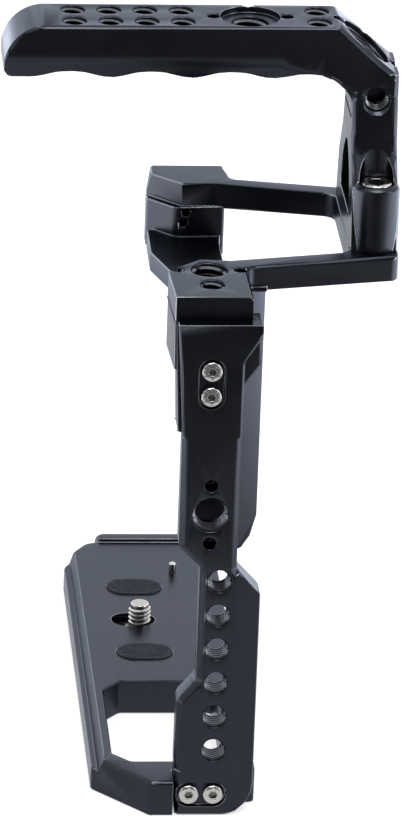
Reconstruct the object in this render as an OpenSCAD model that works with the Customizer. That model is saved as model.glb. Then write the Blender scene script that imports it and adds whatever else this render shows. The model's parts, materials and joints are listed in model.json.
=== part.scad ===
// Half cage for a mirrorless camera, milled from aluminium: a base plate, a side plate,
// a top frame that reaches round the viewfinder hump, and a top handle on its rear bar.
// X runs from the open left side to the right, Y from the near end to the far end of the
// base plate, and Z up. Inside the modules X = 0 is the row of side holes, Y = 0 the side
// plate's outer face and Z = 0 the table. Sizes are in millimetres.

/* [Base plate] */
// Length from the near end to the far end
base_l = 165; // [150:1:190]
// Reach from the row of side holes to the left edge
base_left = 31.8; // [30:0.2:40]
// Reach from the row of side holes to the right edge
base_right = 12.5; // [12:0.5:20]
// Thickness of the base plate
base_t = 10; // [9.5:0.5:14]
// Thickness of the raised lip at the far end
lip_t = 3.5; // [2.5:0.5:6]
// Height of the lip above the plate
lip_rise = 1.1; // [0.5:0.1:3]
// Thickness of the bar at the near end, behind the side plate
near_bar = 5.5; // [4.5:0.5:8]
// Width of the rim left of the battery cut-out
cutout_rim = 5.8; // [4.5:0.1:8]
// Reach of the cut-out to the right of the side holes
cutout_right = 5; // [2:0.5:8]
// Distance from the far end to the middle of the camera screw's slot
slot_from_end = 58.3; // [50:0.1:66]
// Distance of the screw, the pads and the tripod threads left of the side holes
screw_left = 12.7; // [11:0.1:15]
// Travel of the camera screw along its slot
screw_travel = 3.6; // [2:0.2:6]
// Length of a rubber pad
pad_l = 15.9; // [12:0.1:20]
// Width of a rubber pad
pad_w = 10.5; // [8:0.1:14]
// Distance of each pad from the middle of the slot
pad_gap = 22.3; // [18:0.1:26]
// Height of the pads above the plate
pad_rise = 0.5; // [0.2:0.1:1]
// Diameter of the locating pin
pin_d = 2.1; // [1.5:0.1:3]
// Height of the locating pin above the plate
pin_rise = 3.3; // [2:0.1:6]

/* [Side plate] */
// Thickness of the lower part
side_t = 8; // [6.5:0.5:10]
// Thickness of the upper part, in front of the top frame
side_top_t = 4.6; // [3.6:0.1:5.5]
// Height of the lowest threaded hole
first_hole_z = 19.5; // [17:0.5:24]
// Spacing of the threaded holes
hole_pitch = 10; // [8:0.5:14]
// Width of the bevels along the plate's sides
side_bevel = 1.7; // [0.8:0.1:2]

/* [Top frame] */
// Height of the frame's upper face above the table
frame_z = 149.75; // [136:0.25:180]
// Thickness of the bars round the viewfinder window
bar_t = 7; // [5:0.5:10]
// Width of the near and far bars
bar_w = 6; // [4.5:0.1:8]
// Reach from the row of side holes to the frame's right edge
frame_right = 48.3; // [44:0.1:60]
// Width of the rear bar, which carries the handle
rear_bar_w = 13; // [13:0.1:16]
// Distance from the side plate's outer face to the middle of the viewfinder window
window_y = 60; // [58:0.5:66]
// Half of the rear bar's length
rear_half = 25.5; // [25:0.1:30]
// Thickness of the low bridge under the window's left side
bridge_t = 5.5; // [4:0.5:8]
// Depth of the bridge's upper face below the frame's
bridge_drop = 15.25; // [12:0.25:20]

/* [Handle] */
// Height of the handle's upper face above the frame
handle_h = 59.1; // [54:0.1:75]
// Height of the grip bar between its finger grooves
grip_t = 17.6; // [15:0.1:22]
// Width of the grip bar
grip_w = 19.5; // [18:0.1:23]
// Reach of the grip to the left of the side holes
grip_left = 58.3; // [50:0.1:70]
// Spacing of the finger grooves
groove_pitch = 21.8; // [18:0.1:24]
// Depth of the finger grooves
groove_depth = 1.8; // [0.5:0.1:3]
// Spacing of the threaded holes in the grip
grip_pitch = 9.71; // [8.5:0.01:11]
// Thickness of the handle's column
column_t = 12.4; // [11:0.1:12.6]
// Half of the distance between the two handle bolts
bolt_half = 17.5; // [16:0.1:19]

/* [Threads and screws] */
// Diameter of the 1/4 inch threads
quarter_d = 6.35; // [6.35:0.01:6.5]
// Diameter of the 3/8 inch threads
three_eighths_d = 9.53; // [9.53:0.01:9.7]
// Distance of the locating holes from a 3/8 inch thread
locator_gap = 8.4; // [8:0.1:9]
// Diameter of the small screws' thread
small_d = 3; // [2.5:0.1:3.5]
// Diameter of the small screws' heads
small_head_d = 5.5; // [5:0.1:6]
// Diameter of the handle bolts' thread
bolt_d = 5; // [4:0.5:6]
// Diameter of the handle bolts' heads
bolt_head_d = 8.5; // [7.5:0.1:9]

/* [Hidden] */
$fn = 64;

// Small amounts: the overshoot of a cut, the fit of a pressed or screwed part, the slack
// of one that turns or slides, the slack round a head, a broken edge, and the hair by
// which an arc crosses the lines it runs into
over = 1;
fit = 0.02;
slack = 0.06;
head_slack = 0.35;
edge = 0.3;
nip = 0.01;
// Step back of a body under the face it carries
lap = 0.1;

// Heights of the side plate's stations: the lower ones are held from the table and the
// upper ones from the frame's upper face
side_top = frame_z - 6.55;
thin_z = frame_z - 38.75;
arri_z = frame_z - 60.85;
arri_x = -3.1;
leg_foot = frame_z - 81.75;
shoulder_z = frame_z - 84.25;
waist_top = frame_z - 76.55;
// Right edge of the side plate's neck, of its head and of its lower part
neck_x = 4.6;
head_x = 9.3;
wing_x = 11.3;
// Widths of the bevels on the side plate's head and foot
head_bevel = 0.8;
foot_bevel = 1.3;
// Slope of the seam between the side plate's pocket and the top frame's nose
seam_run = 1.44;
seam_x = 4.7;
seam_z = frame_z - 26.15;
// Places of the screws that hold the side plate: x, z
upper_screws = [[-4, frame_z - 19.55], [-4, frame_z - 26.75]];
lower_screws = [[-6.2, 6.2], [0.4, 6.2]];
screw_sink = 1.3;
small_head_h = 1.7;
upper_screw_l = 9;

// Threaded holes as many as fit between the lowest one and the 3/8 inch hole
hole_top = arri_z - 15;
hole_n = floor((hole_top - first_hole_z) / hole_pitch) + 1;

// The top frame's bars close in on each other towards the rear
bar_slope = 0.2;
block_right = 6.7;
block_left = -14;
block_far = 32;
near_side = window_y - rear_half;
far_side = window_y + rear_half;
wing_far = window_y + 43.5;
wing_near = window_y + 29.2;
wing_left = -15.3;
inner_x = frame_right - rear_bar_w;
bridge_top = frame_z - bridge_drop;

// The base plate's stations along Y, held from the far end
body_l = base_l - lip_t;
slot_y = base_l - slot_from_end;
pad_near_y = slot_y - pad_gap;
pad_far_y = slot_y + pad_gap;
pin_y = base_l - 25.8;
pin_x = -1;
pin_depth = 4;
pin_shank_d = pin_d - 0.6;
tripod_depth = 6.5;
cutout_far = pad_near_y - pad_w / 2 - 14.15;
foot_left = -10.7;
pad_sink = 1;
// Slots of the camera screw from the top down: the thread's, the neck's and the head's
thread_slot_d = 8.8;
thread_slot_z = 7;
neck_d = 4.8;
neck_slot_d = 6.8;
head_slot_z = 4.5;
head_d = 13;
head_slot_d = 13.8;

// The handle stands in the middle of the rear bar
handle_top = frame_z + handle_h;
grip_floor = handle_top - grip_t;
foot_w = 12.8;
foot_over = 0.2;
foot_h = 18.25;
foot_x = frame_right + foot_over - foot_w / 2;
column_right = frame_right - 0.4;
column_left = column_right - column_t;
sill_h = 7.05;
arch_h = 24.75;
arch_half = bolt_half - foot_w / 2 - 0.4;
bolt_head_h = 5;
bolt_top = frame_z + 18.6;
grip_row = 4.5;
grip_first_x = -39.5;
grip_last_x = 26.3;
grip_hole_depth = 9;
column_hole_drop = 20;
column_hole_depth = 6;
slant_arri_depth = 8;
arri_face_r = 8.1;
arri_face_sink = 1.7;
grip_arri_x = 8;

// Middle of the whole object, which the origin stands under
middle = [(frame_right + foot_over - grip_left) / 2, base_l / 2];

// ---- Outlines -------------------------------------------------------------------
//
// A corner is [x, y, radius, bevel]: an arc that touches both of its sides, and the width
// of the bevel round the arc and along the side that starts there. The radius and the
// bevel may be left out. Corners run anticlockwise.

function unit(v) = v / norm(v);
function xy(p) = [p.x, p.y];
function at(list, i) = list[(i + len(list)) % len(list)];
function reversed(list) = [for (i = [len(list) - 1:-1:0]) list[i]];
function radius_of(c) = len(c) > 2 ? c[2] : 0;
function bevel_of(c) = len(c) > 3 ? c[3] : 0;
function angle_of(v) = atan2(v.y, v.x);
function all_bevelled(corners, w) = [for (c = corners) [c.x, c.y, radius_of(c), w]];

// Half of the angle between a corner's sides
function half_angle(a, b, c) = acos(unit(xy(a) - xy(b)) * unit(xy(c) - xy(b))) / 2;

// The centre of a corner's arc, which stands a hair nearer to both sides than its radius
function centre_of(a, b, c) =
    let (way = unit(unit(xy(a) - xy(b)) + unit(xy(c) - xy(b))))
    xy(b) + way * (radius_of(b) - nip) / sin(half_angle(a, b, c));

// How far from the corner its arc starts
function reach(a, b, c) =
    radius_of(b) == 0 ? 0 : (radius_of(b) - nip) / tan(half_angle(a, b, c));

// Whether the outline turns left at a corner
function turns_left(a, b, c) =
    let (u = xy(b) - xy(a), v = xy(c) - xy(b))
    u.x * v.y - u.y * v.x > 0.02 * norm(u) * norm(v);

// Between the arc and the corner: what rounding takes off an outer corner, or adds to an
// inner one
module spandrels(corners, left, grow) {
    for (i = [0:len(corners) - 1]) {
        a = at(corners, i - 1);
        b = corners[i];
        c = at(corners, i + 1);
        r = radius_of(b);
        if (r > 0 && turns_left(a, b, c) == left) {
            centre = centre_of(a, b, c);
            far = reach(a, b, c);
            kite = [xy(b) + unit(xy(a) - xy(b)) * far, xy(b), xy(b) + unit(xy(c) - xy(b)) * far];
            difference() {
                polygon(concat([centre], [for (p = kite) centre + (p - centre) * (1 + grow / r)]));
                translate(centre) circle(r);
            }
        }
    }
}

// A plate with sharp edges
module slab(corners, t) {
    difference() {
        union() {
            linear_extrude(t) polygon([for (c = corners) xy(c)]);
            linear_extrude(t) spandrels(corners, false, 2 * edge);
        }
        translate([0, 0, -over]) linear_extrude(t + 2 * over) spandrels(corners, true, over);
    }
}

// What a bevel takes off the upper edge at height t, along the sides and round the arcs
module bevels(corners, t) {
    for (i = [0:len(corners) - 1]) {
        a = at(corners, i - 1);
        b = corners[i];
        c = at(corners, i + 1);
        d = at(corners, i + 2);
        w = bevel_of(b);
        r = radius_of(b);
        if (w > 0) {
            side = unit(xy(c) - xy(b));
            // Past an outer corner a bevel runs on through the air
            from_b = reach(a, b, c) - (turns_left(a, b, c) ? w + over : 0);
            from_c = reach(b, c, d) - (turns_left(b, c, d) ? w + over : 0);
            start = xy(b) + side * from_b;
            translate([start.x, start.y, 0]) rotate([90, 0, angle_of(side) + 90])
                linear_extrude(norm(xy(c) - xy(b)) - from_b - from_c)
                    polygon([[-over, t - w - over], [w + over, t + over], [-over, t + over]]);
        }
        if (w > 0 && r > 0) {
            centre = centre_of(a, b, c);
            outer = turns_left(a, b, c);
            // An inner corner's cone overlaps the bevels beside it
            more = outer ? 0 : 1.6 * acos(1 - nip / r);
            turn = 180 - 2 * half_angle(a, b, c) + 2 * more;
            start = angle_of(unit(xy(b) - xy(a))) + (outer ? -90 : 90 - turn + more);
            lip = min(over, r);
            foot = [r + over, t - w - over];
            brim = [r + over, t + over];
            translate([centre.x, centre.y, 0]) rotate([0, 0, start])
                rotate_extrude(angle = turn) polygon(
                    !outer ? [[r - lip, t - w - lip], [r + w + over, t + over], [r - lip, t + over]]
                    : r > w + over ? [foot, brim, [r - w - over, t + over]]
                    : [foot, brim, [0, t + over], [0, t + r - w]]
                );
        }
    }
}

// A plate with the outline and the bevels of its corners, the latter on its upper face
module plate(corners, t) {
    difference() {
        slab(corners, t);
        bevels(corners, t);
    }
}

// A plate with the same bevels on both faces
module plate_both(corners, t) {
    difference() {
        slab(corners, t);
        bevels(corners, t);
        translate([0, 0, t]) mirror([0, 0, 1]) bevels(corners, t);
    }
}

// A through cut
module window(corners, t, rim = 0) {
    translate([0, 0, -over]) slab(corners, t + 2 * over);
    if (rim > 0) bevels(reversed(all_bevelled(corners, rim)), t);
}

// Turns what is drawn in X and Z, and rises from its far face, to run from y0 to y0 + t
module upright(y0, t) {
    translate([0, y0 + t, 0]) rotate([90, 0, 0]) children();
}

// Turns what is drawn in Y and Z to run from x0 along X
module sideways(x0) {
    translate([x0, 0, 0]) rotate([90, 0, 90]) children();
}

// A straight slot along X, from its first centre to its last
module slot(d, length, t) {
    cylinder(d = d, h = t);
    translate([length, 0, 0]) cylinder(d = d, h = t);
    translate([0, -d / 2, 0]) cube([length, d, t]);
}

// ---- Holes ----------------------------------------------------------------------

// A hole that opens upward at z = 0, with a countersunk mouth
module hole(d, depth, mouth = 0.4) {
    translate([0, 0, -depth]) cylinder(d = d, h = depth + over);
    translate([0, 0, -mouth]) cylinder(d1 = d, d2 = d + 2 * (mouth + over), h = mouth + over);
}

// A 3/8 inch thread with a locating hole on each side, that opens upward at z = 0
module arri_hole(depth) {
    hole(three_eighths_d, depth, 0.5);
    for (side = [-1, 1]) translate([side * locator_gap, 0, 0]) hole(3.3, 5.5, 0.35);
}

// A round seat for an accessory's nose, with locating notches at its rim
module arri_face(depth) {
    locator_ring = arri_face_r + 1.8;
    translate([0, 0, -arri_face_sink]) {
        cylinder(r = arri_face_r, h = arri_face_sink + over);
        hole(three_eighths_d, depth, 0.5);
    }
    for (a = [0, 90, 180]) rotate([0, 0, a]) translate([locator_ring, 0, 0]) hole(3.3, 4.5, 0.3);
}

// Turns a hole that opens upward to open towards the near side at y
module facing_near(x, y, z) {
    translate([x, y, z]) rotate([90, 0, 0]) children();
}

// ---- Screws ---------------------------------------------------------------------

// A screw that hangs down from its head's seat at z = 0
module screw(head_d, head_h, d, length, key) {
    rim = 0.12 * head_d;
    difference() {
        union() {
            cylinder(d = head_d, h = head_h - rim / 2);
            translate([0, 0, head_h - rim / 2])
                cylinder(d1 = head_d, d2 = head_d - rim, h = rim / 2);
            translate([0, 0, -length]) cylinder(d = d, h = length + edge);
        }
        translate([0, 0, head_h * 0.35]) cylinder(d = key / cos(30), h = head_h, $fn = 6);
    }
}

module small_screw(x, y, z, length) {
    color("silver") facing_near(x, y, z)
        screw(small_head_d, small_head_h, small_d, length, 2);
}

module handle_bolt(side) {
    seat_z = bolt_top - bolt_head_h;
    translate([foot_x, window_y + side * bolt_half, seat_z])
        color("silver") screw(bolt_head_d, bolt_head_h, bolt_d, seat_z - frame_z + bar_t - 1, 4);
}

// ---- Side plate -----------------------------------------------------------------

// The seam between the pocket and the nose, down to the pocket's floor
function seam(reach) = [
    [seam_x + reach, seam_z + reach * seam_run],
    [seam_x - (seam_z - thin_z) / seam_run, thin_z],
];

side_corners = [
    [-9.9, 0, 0, 0.6],
    [wing_x, 0, 9, 0.6],
    [wing_x, shoulder_z, 3, 0.8],
    [neck_x, shoulder_z + 7.3, 1.5, side_bevel],
    [neck_x, thin_z, 0, head_bevel],
    [neck_x, side_top - 10.6, 3, head_bevel],
    [head_x, side_top - 3.2],
    [head_x, side_top],
    [-13.2, side_top, 0, head_bevel],
    [-12.2, side_top - 16, 0, head_bevel],
    [-11.2, thin_z, 0, side_bevel],
    [-11.2, waist_top + 5.8, 3, side_bevel],
    [-5.2, waist_top, 3, side_bevel],
    [-5.2, 40, 4, side_bevel],
    [-10.2, 34, 4, side_bevel],
    [-10.3, 16, 0, foot_bevel],
];

// The slope of the lower part's right side and the lean of the head's upper edge
wing_from = 4.9;
wing_fall = 1.8;
brow_h = 3.2;
brow_fall = 0.8;

module side_plate() {
    color([0.13, 0.13, 0.14]) difference() {
        upright(0, side_t) plate(side_corners, side_t);
        // The lower part falls away towards its right edge
        linear_extrude(shoulder_z + 10) polygon([
            [wing_from, -over], [wing_from, 0],
            [wing_x + 2, wing_fall * (wing_x + 2 - wing_from) / (wing_x - wing_from)],
            [wing_x + 2, -over],
        ]);
        // The upper edge leans back
        sideways(-20) linear_extrude(40) polygon([
            [-over, side_top - brow_h], [0, side_top - brow_h],
            [2 * brow_fall, side_top + brow_h], [-over, side_top + brow_h],
        ]);
        // The pocket for the top frame's nose
        upright(side_top_t, side_t) linear_extrude(side_t) polygon(concat(
            seam(12),
            [[-20, thin_z], [-20, side_top + over], [seam_x + 12, side_top + over]]
        ));
        for (i = [0:hole_n - 1])
            facing_near(0, 0, first_hole_z + i * hole_pitch) hole(quarter_d, side_t + over);
        facing_near(arri_x, 0, arri_z) rotate([0, 0, 90]) arri_hole(side_t + over);
        screw_recess(upper_screws);
        screw_recess(lower_screws);
        for (p = concat(upper_screws, lower_screws))
            facing_near(p.x, 0, p.y) hole(small_d + 2 * head_slack, side_t + over, 0);
    }
}

// A shallow slot round two screw heads, open at the plate's outer face
module screw_recess(places) {
    way = places[1] - places[0];
    facing_near(places[0].x, screw_sink, places[0].y) rotate([0, 0, atan2(way.y, way.x)])
        slot(small_head_d + 4 * head_slack, norm(way), screw_sink + over);
}

module upper_side_screw(i) {
    small_screw(upper_screws[i].x, screw_sink, upper_screws[i].y, upper_screw_l);
}

module lower_side_screw(i) {
    small_screw(lower_screws[i].x, screw_sink, lower_screws[i].y,
        side_t + near_bar - screw_sink - over);
}

// ---- Top frame ------------------------------------------------------------------

// Outer and inner lines of the near bar; the far bar mirrors them about the window's middle
function near_line(x) = near_side - bar_slope * (frame_right - x);
function far_line(x) = far_side + bar_slope * (frame_right - x);

// The bars, with the near block at one end and the wing at the other
bar_corners = [
    [block_left, side_top_t],
    [block_right, side_top_t, 0, 0.9],
    [block_right, near_line(block_right), 3, 0.9],
    [frame_right, near_side, 3],
    [frame_right, far_side, 3, 0.9],
    [7.8, far_line(7.8), 2.5, 0.9],
    [6.6, wing_far - 2.5],
    [5.4, wing_far],
    [-13.6, wing_far],
    [wing_left, wing_far - 2.6],
    [wing_left, wing_far - 5.6],
    [-6.1, wing_near, 0, 0.4],
    [2.7, wing_near, 0, 0.4],
    [inner_x, far_line(inner_x) - bar_w - 0.2, 4],
    [inner_x, near_line(inner_x) + bar_w + 0.2, 4, 0.4],
    [2.4, block_far - 0.7],
    [-5.6, block_far],
    [-13, block_far - 6.7],
    [-14.8, block_far - 9.6],
];

// The near block, down to the bridge's underside
block_corners = [
    [block_left + lap, side_top_t + lap],
    [block_right - lap, side_top_t + lap],
    [block_right - lap, block_far - 2.5, 2],
    [2.4, block_far - 0.8],
    [-5.6, block_far - lap],
    [-13 + lap, block_far - 6.8],
    [-14.8 + lap, block_far - 9.6],
];

// The nose behind the side plate's head, drawn in X and Z
nose_t = 8;
nose_corners = concat(
    [[-13.6, side_top - over], [-12.4, thin_z, 1]],
    [for (p = reversed(seam(head_x - seam_x))) [each p, 0, 0.8]],
    [[head_x, side_top - over]]
);

// The leg under the near bar, drawn in X and Z, and the wall that joins it to the nose
leg_right = 12.1;
leg_left = -8.4;
leg_near = 25;
leg_far = 32.5;
leg_facet = 5.6;
leg_corners = [
    [leg_left, leg_foot, 3],
    [leg_right - 4.2, leg_foot, 1.5],
    [leg_right - 1.7, leg_foot + 2.6, 1.5],
    [leg_right, leg_foot + 8, 3],
    [leg_right, frame_z - bar_t + over],
    [leg_left, frame_z - bar_t + over],
];
wall_corners = [
    [-10.6, side_top_t + 1],
    [-6, side_top_t + 1],
    [-6, leg_far - 1],
    [-8.6, leg_far - 1],
];

// The low bridge and the wing's lower body
bridge_corners = [
    [-12, block_far - 8],
    [4, block_far - 8],
    [4, block_far + 2],
    [4, wing_near - 4],
    [5, wing_near + 4],
    [-15.3, wing_near + 4],
    [-15.5, wing_near - 13, 5],
    [-8, window_y - 8, 8],
    [-7, block_far],
];
wing_corners = [
    [5.6, wing_near - 0.5, 1],
    [6.6 - lap, wing_far - 3],
    [5.4, wing_far - lap],
    [-13.6, wing_far - lap],
    [wing_left - lap, wing_far - 2.6],
    [wing_left - lap, wing_far - 8.2, 2],
    [-8, wing_near - 1.2, 4],
];
// The wing's left side leans out down to the step under its recess
wing_step = 6.65;
wing_lean = 1.1;
// Places (x, y) and depths of the threads in the near block's top
block_arri = [-3.65, 24.3];
block_quarter = [-3.65, 13.6];
block_arri_depth = 12;
block_quarter_depth = 10;
// Two small blind holes in the wing's near side: x, and depth below the frame's upper face
wing_holes = [[-5, 8.15], [-5.6, 11.25]];
wing_hole_d = 2.2;

module top_frame() {
    block_z = bridge_top - bridge_t;
    color([0.12, 0.12, 0.13]) difference() {
        union() {
            translate([0, 0, frame_z - bar_t]) plate(bar_corners, bar_t);
            upright(side_top_t, nose_t) plate(nose_corners, nose_t);
            translate([0, 0, block_z]) plate(block_corners, frame_z - bar_t / 2 - block_z);
            translate([0, 0, block_z]) plate(bridge_corners, bridge_t);
            translate([0, 0, block_z]) plate(wing_corners, frame_z - wing_step - block_z);
            translate([0, 0, thin_z + edge]) plate(wall_corners, block_z - thin_z);
            difference() {
                upright(leg_near, leg_far - leg_near) plate(leg_corners, leg_far - leg_near);
                // The leg's near side is cut away at a slant towards its right edge
                linear_extrude(side_top) polygon([
                    [leg_right - leg_facet - over, leg_near - over],
                    [leg_right + over, leg_near - over],
                    [leg_right + over, leg_near + leg_facet],
                ]);
            }
        }
        upright(wing_near, wing_far) linear_extrude(wing_far + over) polygon([
            [wing_left - over, frame_z - wing_step],
            [wing_left - lap, frame_z - wing_step],
            [wing_left + wing_lean * (1 + over / wing_step), frame_z + over],
            [wing_left - over, frame_z + over],
        ]);
        for (p = wing_holes)
            facing_near(p.x, wing_near - 1, frame_z - p.y) hole(wing_hole_d, 5, 0.2);
        // Threads in the near block's top
        translate([block_arri.x, block_arri.y, frame_z]) arri_hole(block_arri_depth);
        translate([block_quarter.x, block_quarter.y, frame_z])
            hole(quarter_d, block_quarter_depth);
        // Threads of the side plate's screws and the handle's bolts
        for (p = upper_screws)
            facing_near(p.x, side_top_t, p.y) hole(small_d + 2 * fit, upper_screw_l, 0.2);
        for (side = [-1, 1])
            translate([foot_x, window_y + side * bolt_half, frame_z])
                hole(bolt_d + 2 * fit, bar_t + over, 0.3);
    }
}

// ---- Base plate -----------------------------------------------------------------

base_corners = [
    [-16.8, 0, 2, 1],
    [foot_left, 0],
    [foot_left, side_t],
    [base_right, side_t, 2, 0.5],
    [base_right, body_l, 2],
    [-25, body_l, 5, 0.8],
    [-base_left, body_l - 11, 5],
    [-base_left, 16.6, 3, 1],
];
cutout_corners = [
    [-base_left + cutout_rim + 5, side_t + near_bar, 2],
    [cutout_right, side_t + near_bar, 2],
    [cutout_right, cutout_far, 2],
    [-base_left + cutout_rim + 5.1, cutout_far, 2],
    [-base_left + cutout_rim, cutout_far - 6, 2],
    [-base_left + cutout_rim, side_t + near_bar + 5.3, 2],
];
lip_corners = [
    [-22, 0, 0.5],
    [base_right, 0, 0.5],
    [base_right, base_t + lip_rise, 1.5],
    [-22, base_t + lip_rise, 2.5],
];

// Profiles of the left edge, drawn in X and Z: a long bevel, and a step beside the pads
edge_bevel = 2.3;
step_in = 3.4;
step_run = 1.7;
step_z = base_t - 3.5;
bevel_from = 17;

module base_plate() {
    step_from = cutout_far + 1;
    color([0.14, 0.14, 0.15]) difference() {
        union() {
            plate(base_corners, base_t);
            upright(body_l - edge, lip_t + edge) plate(lip_corners, lip_t + edge);
        }
        upright(bevel_from, step_from - bevel_from) linear_extrude(step_from - bevel_from) polygon([
            [-base_left + edge_bevel, base_t + over],
            [-base_left + edge_bevel, base_t],
            [-base_left - over, base_t - edge_bevel - over],
            [-base_left - over, base_t + over],
        ]);
        upright(step_from, base_l - step_from) linear_extrude(base_l) polygon([
            [-base_left + step_in, base_t + over],
            [-base_left + step_in, base_t],
            [-base_left + step_in - step_run, step_z],
            [-base_left - over, step_z],
            [-base_left - over, base_t + over],
        ]);
        window(cutout_corners, base_t, 0.5);
        for (y = [pad_near_y, pad_far_y])
            translate([-screw_left - pad_l / 2 + pad_w / 2, y, base_t - pad_sink])
                slot(pad_w + 2 * slack, pad_l - pad_w, pad_sink + over);
        // The camera screw's slots, one above the other
        translate([-screw_left - screw_travel, slot_y, 0]) {
            translate([0, 0, thread_slot_z]) slot(thread_slot_d, screw_travel, base_t);
            translate([0, 0, head_slot_z - over]) slot(neck_slot_d, screw_travel, base_t);
            translate([0, 0, -over]) slot(head_slot_d, screw_travel, head_slot_z + over);
        }
        // Tripod threads in the underside
        translate([-screw_left, pad_near_y, 0]) mirror([0, 0, 1]) hole(quarter_d, tripod_depth);
        translate([-screw_left, pad_far_y, 0]) mirror([0, 0, 1])
            hole(three_eighths_d, tripod_depth);
        translate([pin_x, pin_y, base_t]) hole(pin_shank_d + 2 * fit, pin_depth, 0.05);
        for (p = lower_screws)
            facing_near(p.x, side_t, p.y) hole(small_d + 2 * fit, near_bar + over, 0.2);
    }
}

module pad(y) {
    color([0.1, 0.1, 0.11]) translate([-screw_left - pad_l / 2 + pad_w / 2, y, base_t - pad_sink])
        slot(pad_w, pad_l - pad_w, pad_sink + pad_rise);
}

// A pin whose shoulder stands on the plate, over a thinner shank
module locating_pin() {
    tip = 0.3;
    color("silver") translate([pin_x, pin_y, base_t]) {
        translate([0, 0, -pin_depth]) cylinder(d = pin_shank_d, h = pin_depth + tip);
        cylinder(d = pin_d, h = pin_rise - tip);
        translate([0, 0, pin_rise - tip]) cylinder(d1 = pin_d, d2 = pin_d - 2 * tip, h = tip);
    }
}

// The captive screw: a head under the plate, a thin neck in the slot and a domed thread
thread_top = base_t + 5.35;
clip_z = thread_slot_z + slack;
clip_t = 0.8;

module camera_screw() {
    head_z = 0.5;
    head_h = head_slot_z - head_z - slack;
    dome = 1.1;
    color("silver") translate([-screw_left, slot_y, 0]) difference() {
        union() {
            translate([0, 0, head_z]) cylinder(d = head_d, h = head_h);
            translate([0, 0, head_z]) cylinder(d = neck_d, h = clip_z + clip_t + 0.2 - head_z);
            translate([0, 0, clip_z + clip_t + slack])
                cylinder(d = quarter_d, h = thread_top - dome - clip_z - clip_t - slack);
            translate([0, 0, thread_top - dome])
                cylinder(d1 = quarter_d, d2 = quarter_d - 2.4, h = dome);
        }
        // A coin slot across the head
        translate([-head_d, -0.9, -over]) cube([2 * head_d, 1.8, head_z + 1.6 + over]);
    }
}

module camera_screw_clip() {
    color([0.6, 0.6, 0.62]) translate([-screw_left, slot_y, clip_z]) difference() {
        cylinder(d = thread_slot_d - 0.4, h = clip_t);
        translate([0, 0, -over]) cylinder(d = neck_d + 2 * slack, h = clip_t + 2 * over);
    }
}

// ---- Handle ---------------------------------------------------------------------

groove_n = 4;
groove_end = column_left + 0.4;
groove_start = groove_end - groove_n * groove_pitch;
// Where the last groove runs into the fillet under the grip
fillet_from = column_left - 7.5;
fillet_r = 6;
// The column's upper half starts inside its lower half, and that ends inside the upper one
join_z = grip_floor - 8;
waist_z = frame_z + 40;
column_bevel = 1.2;
grip_bevel = 0.8;

// The underside's line: a low point at each end of every groove
function wave(x) =
    grip_floor + groove_depth * (1 - cos(360 * (x - groove_start) / groove_pitch)) / 2;

// The handle seen from the side, drawn in X and Z: the grip, and the column's upper half
slant_x = frame_right - 16.8;
slant_drop = 13.8;
grip_view = concat(
    [for (x = [groove_start:groove_pitch / 12:fillet_from]) [x, wave(x)]],
    [
        [column_left, grip_floor + 0.6, fillet_r, column_bevel],
        [column_left, join_z],
        [column_right, join_z, 0, column_bevel],
        [column_right, handle_top - slant_drop, 2.5, column_bevel],
        [slant_x, handle_top, 2, grip_bevel],
        [-grip_left, handle_top, 11.5, grip_bevel],
        [-grip_left, grip_floor, 2.5],
    ]
);

// The grip's cross-section, drawn in Y and Z: its flanks lean in below a large round
grip_half = grip_w / 2;
flank_lean = 3.4;
flank_drop = 10.5;
grip_section = [
    [-grip_half + flank_lean, grip_floor - groove_depth - over, 0],
    [grip_half - flank_lean, grip_floor - groove_depth - over, 0],
    [grip_half - flank_lean, grip_floor - edge, 2.5],
    [grip_half, handle_top - flank_drop - edge, 18],
    [grip_half, handle_top + over],
    [-grip_half, handle_top + over],
    [-grip_half, handle_top - flank_drop - edge, 18],
    [-grip_half + flank_lean, grip_floor - edge, 2.5],
];
// The flanks run out of the sides before the column, turned by this angle
run_out_x = 16;
run_out = 9;

// What a grip of that section leaves over, below its flanks
module under_flanks(length) {
    height = handle_top - grip_floor + groove_depth;
    difference() {
        translate([0, -grip_half - over, grip_floor - groove_depth - over / 2])
            cube([length, grip_w + 2 * over, height]);
        sideways(-over) slab(grip_section, length + 2 * over);
    }
}

// The grip with the column's upper half: the flanks are cut first, then their run-outs
module grip() {
    run_out_l = column_left - run_out_x + 3;
    difference() {
        difference() {
            upright(-grip_half, grip_w) plate_both(grip_view, grip_w);
            translate([-grip_left - over, 0, 0]) under_flanks(grip_left + run_out_x + over);
        }
        for (side = [-1, 1]) intersection() {
            translate([run_out_x, side * grip_half, 0]) rotate([0, 0, side * run_out])
                translate([0, -side * grip_half, 0]) under_flanks(run_out_l);
            translate([run_out_x - over, side > 0 ? 0 : -grip_w, grip_floor - grip_t])
                cube([run_out_l + over, grip_w, 2 * grip_t]);
        }
    }
}

// The column seen from the near end, drawn in Y and Z: it widens down to the two feet
// in two steps, the flare and the hip
foot_half = bolt_half + foot_w / 2;
sole = foot_half - 2;
hip = foot_half - 6;
flare = 12.3;
flare_z = frame_z + 27;
flare_r = 12;
waist = grip_half - nip;
splice_z = waist_z + 6;
column_view = [
    [-sole, frame_z],
    [sole, frame_z],
    [hip, frame_z + foot_h, 0, column_bevel],
    [flare, flare_z, flare_r, column_bevel],
    [waist, waist_z, flare_r, column_bevel],
    [waist, splice_z],
    [-waist, splice_z, 0, column_bevel],
    [-waist, waist_z, flare_r, column_bevel],
    [-flare, flare_z, flare_r, column_bevel],
    [-hip, frame_z + foot_h],
];

// The pointed arch through the column, above the sill, drawn in Y and Z
arch_r = 1.5 * arch_half;
arch_rise = sqrt(arch_r * arch_r - (arch_r - arch_half) * (arch_r - arch_half));
arch_spring = arch_h - arch_rise;

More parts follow.
